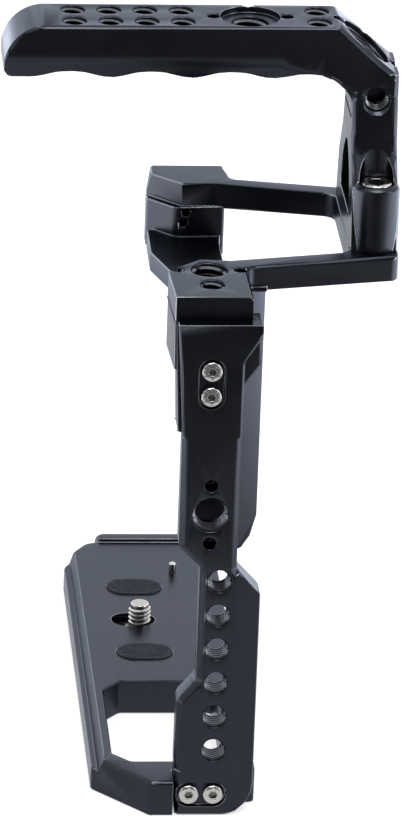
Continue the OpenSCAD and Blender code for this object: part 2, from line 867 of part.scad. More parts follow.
module arch(length) {
    linear_extrude(length) intersection() {
        translate([arch_half - arch_r, frame_z + arch_spring]) circle(arch_r);
        translate([arch_r - arch_half, frame_z + arch_spring]) circle(arch_r);
        translate([-arch_half, frame_z + arch_spring]) square([2 * arch_half, arch_r]);
    }
    linear_extrude(length) translate([-arch_half, frame_z + sill_h])
        square([2 * arch_half, arch_spring - sill_h + edge]);
}

module handle() {
    slant = atan2(slant_drop, column_right - slant_x);
    foot_r = foot_w / 2;
    rim = 1.2;
    color([0.12, 0.12, 0.13]) translate([0, window_y, 0]) difference() {
        union() {
            grip();
            sideways(column_left + nip) plate_both(column_view, column_t - 2 * nip);
            for (side = [-1, 1]) translate([foot_x, side * bolt_half, frame_z]) {
                cylinder(r = foot_r, h = foot_h - rim);
                translate([0, 0, foot_h - rim]) cylinder(r1 = foot_r, r2 = foot_r - rim, h = rim);
            }
            translate([foot_x - foot_r, -bolt_half, frame_z]) cube([foot_w, 2 * bolt_half, sill_h]);
        }
        sideways(column_left - over) arch(foot_w + 4);
        // Seats of the bolts, which also scoop the column's flanks for the key
        for (side = [-1, 1]) translate([foot_x, side * bolt_half, frame_z]) {
            translate([0, 0, -over]) cylinder(d = bolt_d + 2 * head_slack, h = foot_h + over);
            translate([0, 0, bolt_top - bolt_head_h - frame_z])
                cylinder(d = bolt_head_d + 2 * head_slack, h = handle_h - 2 * grip_t);
        }
        // Threads along the grip, and the seats on its top and on the slanted face
        for (row = [-1, 1]) {
            for (i = [0:3])
                translate([grip_first_x + i * grip_pitch, row * grip_row, handle_top])
                    hole(quarter_d, grip_hole_depth);
            translate([grip_last_x, row * grip_row, handle_top])
                hole(quarter_d, grip_hole_depth);
        }
        translate([grip_arri_x, 0, handle_top]) arri_face(grip_hole_depth);
        translate([(column_right + slant_x) / 2, 0, handle_top - slant_drop / 2])
            rotate([0, slant, 0]) arri_face(slant_arri_depth);
        for (side = [-1, 1])
            translate([foot_x, side * grip_half, handle_top - column_hole_drop])
                rotate([-side * 90, 0, 0]) hole(quarter_d, column_hole_depth);
    }
}

module placed() {
    translate([-middle.x, -middle.y, 0]) children();
}

placed() side_plate();
placed() top_frame();
placed() base_plate();
placed() handle();
placed() handle_bolt(-1);  // handle_bolt_near
placed() handle_bolt(1);  // handle_bolt_far
placed() upper_side_screw(0);  // upper_side_screw_top
placed() upper_side_screw(1);  // upper_side_screw_bottom
placed() lower_side_screw(0);  // lower_side_screw_left
placed() lower_side_screw(1);  // lower_side_screw_right
placed() camera_screw();
placed() camera_screw_clip();
placed() pad(pad_near_y);  // pad_near
placed() pad(pad_far_y);  // pad_far
placed() locating_pin();
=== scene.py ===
"""Half cage for a camera: the finish of its black anodised plates, its threads, its pads
and its steel screws, round the CAD frame."""
import json

import bpy
import numpy as np
from mathutils import Matrix, Vector


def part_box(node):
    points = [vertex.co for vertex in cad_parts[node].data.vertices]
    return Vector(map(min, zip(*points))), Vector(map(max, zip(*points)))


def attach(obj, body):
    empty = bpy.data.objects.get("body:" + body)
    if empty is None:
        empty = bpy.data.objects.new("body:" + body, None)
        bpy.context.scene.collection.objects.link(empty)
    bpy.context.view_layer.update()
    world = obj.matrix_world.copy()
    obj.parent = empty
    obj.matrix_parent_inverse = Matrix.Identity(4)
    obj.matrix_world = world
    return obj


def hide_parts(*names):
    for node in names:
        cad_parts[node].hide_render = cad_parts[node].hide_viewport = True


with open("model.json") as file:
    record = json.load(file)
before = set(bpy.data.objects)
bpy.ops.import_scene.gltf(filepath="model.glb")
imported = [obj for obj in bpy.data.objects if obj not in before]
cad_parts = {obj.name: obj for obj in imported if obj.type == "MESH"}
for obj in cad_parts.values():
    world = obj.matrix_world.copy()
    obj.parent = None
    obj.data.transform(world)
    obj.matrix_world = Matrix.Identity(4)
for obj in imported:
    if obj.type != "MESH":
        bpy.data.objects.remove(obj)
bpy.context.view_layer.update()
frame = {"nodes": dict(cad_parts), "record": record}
nodes = frame["nodes"]
bodies = frame["record"]["behaviour"]["bodies"]
body_of = {node: body for body, group in bodies.items() for node in group}
MM = 0.001


# ---- Camera ----------------------------------------------------------------------
LENS_PIXELS = 6641.98
YAW, PITCH, ROLL = np.radians([5.0826, 22.5608, 2.1300])
CAMERA_PLACE = Vector((-145.61, -1700.78, 794.50)) * MM
FILM_HEIGHT = 36.0
PICTURE_HEIGHT = 819
# Nearest and furthest distance that the camera sees, in metres
NEAREST, FURTHEST = 0.05, 30.0


def add_camera():
    data = bpy.data.cameras.new("camera")
    data.sensor_fit = "VERTICAL"
    data.sensor_height = FILM_HEIGHT
    data.sensor_width = FILM_HEIGHT
    data.lens = LENS_PIXELS / PICTURE_HEIGHT * FILM_HEIGHT
    data.clip_start, data.clip_end = NEAREST, FURTHEST
    camera = bpy.data.objects.new("camera", data)
    bpy.context.scene.collection.objects.link(camera)
    forward = Vector((np.sin(YAW) * np.cos(PITCH), np.cos(YAW) * np.cos(PITCH), -np.sin(PITCH)))
    level = Vector((np.cos(YAW), -np.sin(YAW), 0.0))
    above = level.cross(forward)
    right = level * np.cos(ROLL) + above * np.sin(ROLL)
    up = above * np.cos(ROLL) - level * np.sin(ROLL)
    turn = Matrix((right, up, -forward)).transposed().to_4x4()
    camera.matrix_world = Matrix.Translation(CAMERA_PLACE) @ turn
    bpy.context.scene.camera = camera


add_camera()


# ---- Effects used by more than one finish ----------------------------------------
def ramp(tree, value, from_range=(0.0, 1.0), to_range=(0.0, 1.0), smooth=False):
    """A node that turns one range of values into another, and holds its ends."""
    node = tree.nodes.new("ShaderNodeMapRange")
    if smooth:
        node.interpolation_type = "SMOOTHSTEP"
    labels = ("From Min", "From Max", "To Min", "To Max")
    for label, number in zip(labels, (*from_range, *to_range)):
        node.inputs[label].default_value = number
    tree.links.new(value, node.inputs["Value"])
    return node


def calculated(tree, operation, first, second=None, clamp=False):
    """The result of one sum of one or two values."""
    node = tree.nodes.new("ShaderNodeMath")
    node.operation = operation
    node.use_clamp = clamp
    tree.links.new(first, node.inputs[0])
    if second is not None:
        tree.links.new(second, node.inputs[1])
    return node.outputs[0]


def new_group(name, inputs, outputs):
    """A node group with float inputs (name, value) and outputs (name, kind)."""
    group = bpy.data.node_groups.new(name, "ShaderNodeTree")
    for label, value in inputs:
        socket = group.interface.new_socket(label, in_out="INPUT", socket_type="NodeSocketFloat")
        socket.default_value = value
    for label, kind in outputs:
        group.interface.new_socket(label, in_out="OUTPUT", socket_type="NodeSocket" + kind)
    return group, group.nodes.new("NodeGroupInput"), group.nodes.new("NodeGroupOutput")


def grain_group():
    """Fine grain of a blasted or moulded surface, and the slow drift of its tone."""
    group, given, out = new_group(
        "surface_grain",
        [("Grain per mm", 4.0), ("Drift per mm", 0.05), ("Rough low", 0.3), ("Rough high", 0.4)],
        [("Height", "Float"), ("Tone", "Float"), ("Roughness", "Float")],
    )
    n, link = group.nodes, group.links.new
    place = n.new("ShaderNodeTexCoord")
    in_mm = n.new("ShaderNodeVectorMath")
    in_mm.operation = "SCALE"
    in_mm.inputs["Scale"].default_value = 1 / MM
    link(place.outputs["Object"], in_mm.inputs[0])
    fine = n.new("ShaderNodeTexNoise")
    fine.inputs["Detail"].default_value = 2.0
    link(in_mm.outputs[0], fine.inputs["Vector"])
    link(given.outputs["Grain per mm"], fine.inputs["Scale"])
    slow = n.new("ShaderNodeTexNoise")
    slow.inputs["Detail"].default_value = 3.0
    slow.inputs["Roughness"].default_value = 0.65
    link(in_mm.outputs[0], slow.inputs["Vector"])
    link(given.outputs["Drift per mm"], slow.inputs["Scale"])
    spread = ramp(group, slow.outputs[0], from_range=(0.3, 0.7))
    link(given.outputs["Rough low"], spread.inputs["To Min"])
    link(given.outputs["Rough high"], spread.inputs["To Max"])
    link(fine.outputs[0], out.inputs["Height"])
    link(slow.outputs[0], out.inputs["Tone"])
    link(spread.outputs["Result"], out.inputs["Roughness"])
    return group


def lathe_group():
    """Rings left by the lathe round a piece's own axis, read from its UV map in mm."""
    group, given, out = new_group(
        "lathe_rings",
        [("Rings per mm", 6.0)],
        [("Height", "Float"), ("Mask", "Float")],
    )
    n, link = group.nodes, group.links.new
    place = n.new("ShaderNodeUVMap")
    place.uv_map = "radius_and_height"
    stretch = n.new("ShaderNodeVectorMath")
    stretch.operation = "SCALE"
    link(place.outputs[0], stretch.inputs[0])
    link(given.outputs["Rings per mm"], stretch.inputs["Scale"])
    rings = n.new("ShaderNodeTexNoise")
    rings.inputs["Scale"].default_value = 1.0
    rings.inputs["Detail"].default_value = 1.0
    link(stretch.outputs[0], rings.inputs["Vector"])
    link(rings.outputs[0], out.inputs["Height"])
    mask = ramp(group, rings.outputs[0], from_range=(0.35, 0.65))
    link(mask.outputs["Result"], out.inputs["Mask"])
    return group


GRAIN = grain_group()
RINGS = lathe_group()


# ---- Finishes ---------------------------------------------------------------------
COOL_SHEEN = (0.85, 0.90, 1.0, 1)
RUBBER_SHEEN = (0.72, 0.78, 1.0, 1)


def new_finish(name, roughness, metallic=0.0):
    mat = bpy.data.materials.new(name)
    mat.use_nodes = True
    shader = mat.node_tree.nodes["Principled BSDF"]
    shader.inputs["Roughness"].default_value = roughness
    shader.inputs["IOR"].default_value = 1.5
    shader.inputs["Metallic"].default_value = metallic
    return mat, mat.node_tree, shader


def use_group(tree, group, **values):
    node = tree.nodes.new("ShaderNodeGroup")
    node.node_tree = group
    for label, value in values.items():
        node.inputs[label.replace("_", " ")].default_value = value
    return node


def two_tones(tree, factor, dark, light):
    blend = tree.nodes.new("ShaderNodeMix")
    blend.data_type = "RGBA"
    blend.inputs["A"].default_value = (*dark, 1)
    blend.inputs["B"].default_value = (*light, 1)
    tree.links.new(factor, blend.inputs["Factor"])
    return blend.outputs["Result"]


def relief(tree, height, shader, depth_mm):
    bump = tree.nodes.new("ShaderNodeBump")
    bump.inputs["Distance"].default_value = depth_mm * MM
    bump.inputs["Strength"].default_value = 1.0
    tree.links.new(height, bump.inputs["Height"])
    tree.links.new(bump.outputs["Normal"], shader.inputs["Normal"])


def anodised(name, dark, light, rough, grain_depth):
    """Blasted aluminium under a black anodic film: satin, with a cool sheen at a low angle."""
    mat, tree, shader = new_finish(name, rough[0], metallic=1.0)
    shader.inputs["Specular Tint"].default_value = COOL_SHEEN
    grain = use_group(tree, GRAIN, Grain_per_mm=5.0, Drift_per_mm=0.06,
                      Rough_low=rough[0], Rough_high=rough[1])
    tone = two_tones(tree, grain.outputs["Tone"], dark, light)
    tree.links.new(tone, shader.inputs["Base Color"])
    tree.links.new(grain.outputs["Roughness"], shader.inputs["Roughness"])
    relief(tree, grain.outputs["Height"], shader, grain_depth)
    return mat


def stainless(name, dark, light, rough, rings_per_mm):
    """Turned stainless steel: rings round the axis, and a slow change of its polish."""
    mat, tree, shader = new_finish(name, rough[0], metallic=1.0)
    rings = use_group(tree, RINGS, Rings_per_mm=rings_per_mm)
    grain = use_group(tree, GRAIN, Grain_per_mm=9.0, Drift_per_mm=0.4,
                      Rough_low=rough[0], Rough_high=rough[1])
    tone = two_tones(tree, rings.outputs["Mask"], dark, light)
    tree.links.new(tone, shader.inputs["Base Color"])
    tree.links.new(grain.outputs["Roughness"], shader.inputs["Roughness"])
    relief(tree, rings.outputs["Height"], shader, depth_mm=0.004)
    return mat


def pad_rubber():
    """Matt black rubber, mottled, with a faint cool sheen at a low angle."""
    mat, tree, shader = new_finish("pad_rubber", 0.7)
    shader.inputs["Specular Tint"].default_value = RUBBER_SHEEN
    grain = use_group(tree, GRAIN, Grain_per_mm=7.0, Drift_per_mm=0.3,
                      Rough_low=0.55, Rough_high=0.8)
    tone = two_tones(tree, grain.outputs["Tone"], dark=(0.008, 0.009, 0.014),
                     light=(0.030, 0.033, 0.048))
    tree.links.new(tone, shader.inputs["Base Color"])
    tree.links.new(grain.outputs["Roughness"], shader.inputs["Roughness"])
    relief(tree, grain.outputs["Height"], shader, depth_mm=0.03)
    return mat


FACE = anodised("black_anodised_face", dark=(0.030, 0.033, 0.042), light=(0.044, 0.048, 0.060),
                rough=(0.25, 0.33), grain_depth=0.004)
# EDGE: a lighter reflectance on the broken edges, which is a painted highlight along them and not
# a colour of their own
EDGE = anodised("black_anodised_edge_painted_highlight", dark=(0.15, 0.155, 0.18), light=(0.24, 0.25, 0.28),
                rough=(0.18, 0.26), grain_depth=0.002)
# A lighter reflectance on the thread ridges: a painted highlight along their crests, and not a
# colour of their own
THREAD_PAINTED_HIGHLIGHT = anodised("black_anodised_thread_painted_highlight", dark=(0.10, 0.105, 0.12), light=(0.16, 0.165, 0.19),
                  rough=(0.15, 0.22), grain_depth=0.002)
STEEL = stainless("stainless_screws", dark=(0.42, 0.41, 0.40), light=(0.64, 0.63, 0.61),
                  rough=(0.17, 0.27), rings_per_mm=5.0)
CLIP = stainless("spring_clip_steel", dark=(0.36, 0.36, 0.37), light=(0.52, 0.52, 0.53),
                 rough=(0.25, 0.4), rings_per_mm=3.0)
# Darker steel for the faces down in the sockets: painted shade in the hollow, and not a steel of
# their own
SOCKET_PAINTED_SHADE = stainless("stainless_sockets_painted_shade", dark=(0.10, 0.10, 0.10), light=(0.26, 0.26, 0.25),
                   rough=(0.25, 0.4), rings_per_mm=3.0)
RUBBER = pad_rubber()


# ---- Shaping helpers --------------------------------------------------------------
# Angles in degrees: where shading breaks, and where two sharp edges meet in a needle point
SMOOTH_ANGLE = 32
NEEDLE_ANGLE = 42
# Vertices this close (mm) are merged, and edges this short are dissolved
SAME_PLACE = 0.012
NO_LENGTH = 0.005
# From and to how far (mm) outside a tapped hole's thread an edge gets no bevel
HOLE_RIM = (0.55, 1.3)


def only(obj):
    """Leave edit mode, and make this the one selected and active object."""
    if bpy.context.object and bpy.context.object.mode != "OBJECT":
        bpy.ops.object.mode_set(mode="OBJECT")
    bpy.ops.object.select_all(action="DESELECT")
    obj.select_set(True)
    bpy.context.view_layer.objects.active = obj


def edit(obj):
    only(obj)
    bpy.ops.object.mode_set(mode="EDIT")
    bpy.ops.mesh.select_all(action="SELECT")


def settle(obj):
    """Put the object's place into its mesh."""
    only(obj)
    bpy.ops.object.transform_apply(location=True, rotation=True, scale=True)


def apply_all(obj):
    only(obj)
    for modifier in list(obj.modifiers):
        bpy.ops.object.modifier_apply(modifier=modifier.name)


def shade(obj):
    only(obj)
    bpy.ops.object.shade_smooth_by_angle(angle=np.radians(SMOOTH_ANGLE))


def join(target, pieces):
    only(target)
    for piece in pieces:
        piece.select_set(True)
    bpy.ops.object.join()


def primitive(add, **values):
    """The new object that one of the mesh add operators makes."""
    bpy.ops.object.select_all(action="DESELECT")
    add(**values)
    return bpy.context.object


def own_copy(obj):
    """A copy of an object, with a mesh of its own."""
    copy = obj.copy()
    copy.data = obj.data.copy()
    bpy.context.scene.collection.objects.link(copy)
    return copy


def cut_above(obj, point, normal):
    """Cut away what lies beyond a plane, and close the cut."""
    edit(obj)
    bpy.ops.mesh.bisect(plane_co=point, plane_no=normal, use_fill=True, clear_outer=True)
    bpy.ops.object.mode_set(mode="OBJECT")


def stand_for(obj, node, *finishes):
    """The finished piece takes the CAD node's place and body, and the given finishes if any; the
    CAD node is hidden.
    """
    obj.name = node + "_finished"
    obj.data.name = obj.name
    if finishes:
        obj.data.materials.clear()
        for finish in finishes:
            obj.data.materials.append(finish)
    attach(obj, body_of[node])
    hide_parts(node)


def merged_copy(node):
    """A copy of a CAD node with its doubled vertices merged and its slivers dissolved."""
    obj = own_copy(nodes[node])
    obj.data.materials.clear()
    edit(obj)
    bpy.ops.mesh.remove_doubles(threshold=SAME_PLACE * MM)
    bpy.ops.mesh.dissolve_degenerate(threshold=NO_LENGTH * MM)
    bpy.ops.object.mode_set(mode="OBJECT")
    return obj


def sharp_edges(mesh, angle):
    """The edges that a file would break: sharper than angle, and not running into a
    needle point, where there is no room for a bevel."""
    faces_at = [[] for _ in mesh.edges]
    for face in mesh.polygons:
        for loop in face.loop_indices:
            faces_at[mesh.loops[loop].edge_index].append(face)
    chosen = set()
    for edge, faces in zip(mesh.edges, faces_at):
        if len(faces) == 2 and faces[0].normal.angle(faces[1].normal, 0) > np.radians(angle):
            chosen.add(edge.index)
    meeting = {}
    for index in chosen:
        for vertex in mesh.edges[index].vertices:
            meeting.setdefault(vertex, []).append(index)
    for vertex, group in meeting.items():
        for a in group:
            for b in group:
                if a < b and a in chosen and b in chosen:
                    arms = []
                    for index in (a, b):
                        ends = mesh.edges[index].vertices
                        far = ends[1] if ends[0] == vertex else ends[0]
                        arms.append(mesh.vertices[far].co - mesh.vertices[vertex].co)
                    if arms[0].angle(arms[1], 0) < np.radians(NEEDLE_ANGLE):
                        chosen.discard(a if arms[0].length < arms[1].length else b)
    return chosen


def near_hole(mesh, edge, holes):
    """Whether an edge lies close round the mouth of a tapped hole, with no room for a bevel."""
    ends = [mesh.vertices[i].co / MM for i in edge.vertices]
    centre = (ends[0] + ends[1]) / 2
    for place, axis, size, *_ in holes:
        arm = centre - Vector(place)
        along = Vector(axis)
        arm -= along * arm.dot(along)
        if size["outer"] + HOLE_RIM[0] < arm.length < size["outer"] + HOLE_RIM[1]:
            return True
    return False


def soften(obj, width_mm, angle=50, segments=2, finish=None, holes=()):
    """Break the sharp edges, and shade what is curved smoothly."""
    marks = obj.data.attributes.new("bevel_weight_edge", "FLOAT", "EDGE")
    for index in sharp_edges(obj.data, angle):
        if not near_hole(obj.data, obj.data.edges[index], holes):
            marks.data[index].value = 1.0
    bevel = obj.modifiers.new("broken_edges", "BEVEL")
    bevel.width = width_mm * MM
    bevel.segments = segments
    bevel.limit_method = "WEIGHT"
    bevel.use_clamp_overlap = False
    # A given finish goes on the bevel faces: for the plates, this is the painted highlight of the
    # edges
    if finish is not None:
        bevel.material = finish
    apply_all(obj)
    shade(obj)
    flat = obj.modifiers.new("flat_faces_lead", "WEIGHTED_NORMAL")
    flat.keep_sharp = True
    flat.weight = 100
    apply_all(obj)


# ---- Threads ----------------------------------------------------------------------
QUARTER = dict(outer=3.175, inner=2.62, pitch=1.27)
THREE_EIGHTHS = dict(outer=4.765, inner=4.06, pitch=1.5875)
# A ridge's half width at its root and at its crest, as shares of the pitch
RIDGE_HALF = 0.42
RIDGE_CREST = 0.125
RIDGE_CORNERS = 6
STEPS_PER_TURN = 28


def helix(outer, inner, pitch, length, root):
    """A ridge wound round Z from z = 0 down, as one closed solid. Half of it lies in the
    wall or the core it stands on, whose radius is root."""
    height = outer - inner
    half = RIDGE_HALF * pitch
    crest = RIDGE_CREST * pitch
    turns = int((length - 2 * half) / pitch)
    ridge = primitive(bpy.ops.mesh.primitive_circle_add, vertices=RIDGE_CORNERS, radius=1.0,
                      fill_type="NOTHING")
    ridge.rotation_euler = (np.radians(90), 0, 0)
    # Four corners of the hexagon, 0.5 from its middle line, become the two flat crests
    for vertex in ridge.data.vertices:
        if abs(vertex.co.x) > 0.5:
            vertex.co.y *= crest / half / 0.5
    ridge.scale = (height / np.cos(np.radians(30)) * MM, half * MM, 1)
    ridge.location = (root * MM, 0, -(half + turns * pitch) * MM)
    settle(ridge)
    sweep = ridge.modifiers.new("turns", "SCREW")
    sweep.screw_offset = pitch * MM
    sweep.iterations = turns
    sweep.steps = sweep.render_steps = STEPS_PER_TURN
    sweep.use_merge_vertices = False
    apply_all(ridge)
    edit(ridge)
    bpy.ops.mesh.fill_holes(sides=RIDGE_CORNERS)
    bpy.ops.mesh.select_all(action="SELECT")
    bpy.ops.mesh.normals_make_consistent(inside=False)
    bpy.ops.object.mode_set(mode="OBJECT")
    return ridge


def tapped(place, axis, size, depth, mouth):
    """The thread of a tapped hole that opens at a place (mm) along an axis."""
    ridge = helix(length=depth - mouth, root=size["outer"], **size)
    turn = Vector(axis).to_track_quat("Z", "Y").to_matrix().to_4x4()
    start = Matrix.Translation((0, 0, -mouth * MM))
    ridge.matrix_world = Matrix.Translation(Vector(place) * MM) @ turn @ start
    settle(ridge)
    shade(ridge)
    return ridge


# Places in mm
SIDE_FACE = -82.5
SIDE_HOLES_X, SIDE_HOLES_Z, SIDE_PITCH = 4.9, 19.5, 10
BLOCK_X, FRAME_TOP = 1.25, 149.75
BASE_X = -7.8
GRIP_X = [-34.6, -24.89, -15.18, -5.47, 31.2]
GRIP_ROWS = [-27.0, -18.0]
GRIP_Y = -22.5
GRIP_TOP = 208.85
GRIP_HALF = 9.75
# The slanted face, and how deep the seats of its thread and of the grip's are sunk
SLANT = np.radians(40.079)
SLANT_AXIS = Vector((np.sin(SLANT), 0, np.cos(SLANT)))
SLANT_PLACE = Vector((44.6, GRIP_Y, 201.95))
SINK = 1.7
UP, DOWN = (0, 0, 1), (0, 0, -1)
# Of each plate, its tapped holes: place, axis, thread, depth, and how far below the mouth the
# thread starts
tapped_holes = {
    "side_plate": [
        ((SIDE_HOLES_X, SIDE_FACE, SIDE_HOLES_Z + SIDE_PITCH * i), (0, -1, 0), QUARTER, 7.9, 0.4)
        for i in range(6)
    ] + [((1.8, SIDE_FACE, 88.9), (0, -1, 0), THREE_EIGHTHS, 7.9, 0.5)],
    "top_frame": [
        ((BLOCK_X, -58.2, FRAME_TOP), UP, THREE_EIGHTHS, 11.8, 0.5),
        ((BLOCK_X, -68.9, FRAME_TOP), UP, QUARTER, 9.8, 0.4),
    ],
    "base_plate": [
        ((BASE_X, 1.9, 0), DOWN, QUARTER, 6.3, 0.4),
        ((BASE_X, 46.5, 0), DOWN, THREE_EIGHTHS, 6.3, 0.4),
    ],
    "handle": [((x, y, GRIP_TOP), UP, QUARTER, 8.8, 0.4) for x in GRIP_X for y in GRIP_ROWS]
    + [((12.9, GRIP_Y, GRIP_TOP - SINK), UP, THREE_EIGHTHS, 8.8, 0.5)]
    + [(tuple(SLANT_PLACE - SLANT_AXIS * SINK), tuple(SLANT_AXIS), THREE_EIGHTHS, 7.8, 0.5)]
    + [((47.0, GRIP_Y + s * GRIP_HALF, 188.85), (0, s, 0), QUARTER, 5.8, 0.4) for s in (-1, 1)],
}


# ---- Black plates -------------------------------------------------------------------
def vertices_mm(obj):
    return np.array([vertex.co for vertex in obj.data.vertices]) / MM


def place_mm(obj, places):
    obj.data.vertices.foreach_set("co", (places * MM).ravel())
    obj.data.update()


# Where each flank's run-out starts, in X, and how far its cutter is turned, in degrees
RUN_OUT = 20.9
CUTTER_TURN = 9
# Between which heights the wedge left there lies, and how long it is in X
WEDGE_Z = (186, 200.4)
WEDGE_X = 0.75
WEDGE_TOP = 202
# How close a vertex is to the wedge's first side, to its second side and to its partner
ON_FIRST = 0.006
ON_SECOND = 0.05
PARTNER = 0.35
INSIDE_FLANK = 0.03
# How close a vertex is to the closed wedge's plane, and to another there, to be merged
CLOSED_PLANE = 0.002
CLOSED_PLACE = 0.003


def trim_fins(obj):
    """Close the thin wedge left where each flank's run-out starts, and take its faces out."""
    places = vertices_mm(obj)
    depth = GRIP_HALF - abs(places[:, 1] - GRIP_Y)
    low = (places[:, 2] < WEDGE_Z[1]) & (places[:, 2] > WEDGE_Z[0])
    first = np.flatnonzero(low & (abs(places[:, 0] - RUN_OUT) < ON_FIRST) & (depth > INSIDE_FLANK))
    second = np.flatnonzero(low & (places[:, 0] > RUN_OUT + ON_FIRST)
                            & (places[:, 0] < RUN_OUT + WEDGE_X) & (depth > INSIDE_FLANK))
    for index in second:
        gap = np.hypot(*(places[first, 1:] - places[index, 1:]).T)
        expected = RUN_OUT + depth[index] * np.tan(np.radians(CUTTER_TURN))
        if abs(places[index, 0] - expected) < ON_SECOND and gap.min() < PARTNER:
            places[index] = places[first[gap.argmin()]]
    place_mm(obj, places)
    edit(obj)
    bpy.ops.mesh.select_all(action="DESELECT")
    bpy.ops.object.mode_set(mode="OBJECT")
    obj.data.vertices.foreach_set("select", abs(places[:, 0] - RUN_OUT) < CLOSED_PLANE)
    bpy.ops.object.mode_set(mode="EDIT")
    bpy.ops.mesh.remove_doubles(threshold=CLOSED_PLACE * MM)
    bpy.ops.mesh.select_all(action="DESELECT")
    bpy.ops.mesh.select_mode(type="FACE")
    bpy.ops.object.mode_set(mode="OBJECT")
    places = vertices_mm(obj)
    for face in obj.data.polygons:
        corners = places[list(face.vertices)]
        if abs(corners[:, 0] - RUN_OUT).max() < ON_FIRST and corners[:, 2].max() < WEDGE_TOP:
            face.select = True
    bpy.ops.object.mode_set(mode="EDIT")
    bpy.ops.mesh.delete(type="FACE")
    bpy.ops.mesh.select_mode(type="VERT")
    bpy.ops.mesh.select_all(action="SELECT")
    bpy.ops.mesh.delete_loose()
    bpy.ops.mesh.select_all(action="DESELECT")
    bpy.ops.mesh.select_non_manifold()
    bpy.ops.mesh.fill_holes(sides=0)
    bpy.ops.mesh.select_all(action="SELECT")
    bpy.ops.mesh.quads_convert_to_tris()
    bpy.ops.object.mode_set(mode="OBJECT")


# The lift (mm) of the grip's underside at some heights, and its share at some places in X,
# where it fades out into the fillet before the column
LIFT_Z = [183, 187, 189.8, 192.5, 200.6]
LIFT_MM = [0, 1.4, 1.9, 2.5, 0]
FADE_X = [31.5, 33, 37.5, 39.2]
FADE_SHARE = [1, 0.93, 0.1, 0]


def slim_grip(obj):
    """Raise the grip's wavy underside."""
    trim_fins(obj)
    places = vertices_mm(obj)
    x, z = places[:, 0], places[:, 2]
    lift = np.interp(z, LIFT_Z, LIFT_MM)
    places[:, 2] += lift * np.interp(x, FADE_X, FADE_SHARE)
    place_mm(obj, places)


# The right face of the base plate's raised block (X) and how close a vertex is to belong to
# it, where the block ends (Y), and by how much it is widened
BLOCK_RIGHT = -5.8
BLOCK_NEAR = 0.3
BLOCK_END = -74.5
BLOCK_WIDER = 0.33


def widen_block(obj):
    """Bring the raised near block's right face closer to the side plate's foot."""
    places = vertices_mm(obj)
    edge = (abs(places[:, 0] - BLOCK_RIGHT) < BLOCK_NEAR) & (places[:, 1] < BLOCK_END)
    places[edge, 0] += BLOCK_WIDER
    place_mm(obj, places)


RESHAPE = {"handle": slim_grip, "base_plate": widen_block}
BROKEN_EDGE = {"side_plate": 0.25, "top_frame": 0.3, "base_plate": 0.25, "handle": 0.22}
# Broken edges that look down further than this get no painted highlight, and stay as dark as the
# faces
LOOKS_DOWN = -0.3
for node, width in BROKEN_EDGE.items():
    piece = merged_copy(node)
    if node in RESHAPE:
        RESHAPE[node](piece)
    piece.data.materials.append(FACE)
    # The second finish is the painted highlight, which soften puts on the bevel faces
    piece.data.materials.append(EDGE)
    soften(piece, width, finish=1, holes=tapped_holes[node])
    low, high = (np.array(corner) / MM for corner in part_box(node))
    place_mm(piece, np.clip(vertices_mm(piece), low, high))
    for face in piece.data.polygons:
        if face.material_index == 1 and face.normal.z < LOOKS_DOWN:
            face.material_index = 0
    ridges = [tapped(*hole) for hole in tapped_holes[node]]
    # The ridges get the painted highlight of the threads
    for ridge in ridges:
        ridge.data.materials.append(THREAD_PAINTED_HIGHLIGHT)
    join(piece, ridges)
    stand_for(piece, node)


# ---- Screws -------------------------------------------------------------------------
def lathe_map(obj, centre, axis):
    """A UV map with the distance from the axis and the place along it, in mm."""
    layer = obj.data.uv_layers.new(name="radius_and_height")
    axis = Vector(axis)
    for loop in obj.data.loops:
        arm = obj.data.vertices[loop.vertex_index].co - Vector(centre)
        along = arm.dot(axis)
        layer.data[loop.index].uv = ((arm - axis * along).length / MM, along / MM)


def middle(node):
    low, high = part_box(node)
    return (Vector(low) + Vector(high)) / 2


RIB_RADIUS = 0.16
RIB_POINT = 0.05


def knurl(centre, radius, low, high, count):
    """Straight knurls round a head: ribs with pointed ends, each a closed solid."""
    rib = primitive(bpy.ops.mesh.primitive_cylinder_add, vertices=4, radius=RIB_RADIUS * MM,
                    depth=(high - low) * MM, location=(radius * MM, 0, 0))
    settle(rib)
    edit(rib)
    bpy.ops.mesh.bevel(offset=RIB_POINT * MM, segments=1, affect="EDGES")
    bpy.ops.object.mode_set(mode="OBJECT")
    place = Matrix.Translation((centre.x, centre.y, (low + high) / 2 * MM))
    ribs = []
    for i in range(count):
        copy = own_copy(rib)
        copy.matrix_world = place @ Matrix.Rotation(2 * np.pi * i / count, 4, "Z")
        settle(copy)
        ribs.append(copy)
    bpy.data.objects.remove(rib)
    return ribs


# The axis, which way along it the head looks, the broken edge and the reach of the socket's
# painted shade
SIDE_SCREW = ((0, 1, 0), -1, 0.12, 1.6)
HANDLE_BOLT = ((0, 0, 1), 1, 0.18, 2.5)
# Of the bolts' knurls, their radius, their ends below the top of the head, and their count
KNURL_RADIUS, KNURL_LOW, KNURL_HIGH, KNURLS = 4.22, 4.6, 1.3, 44
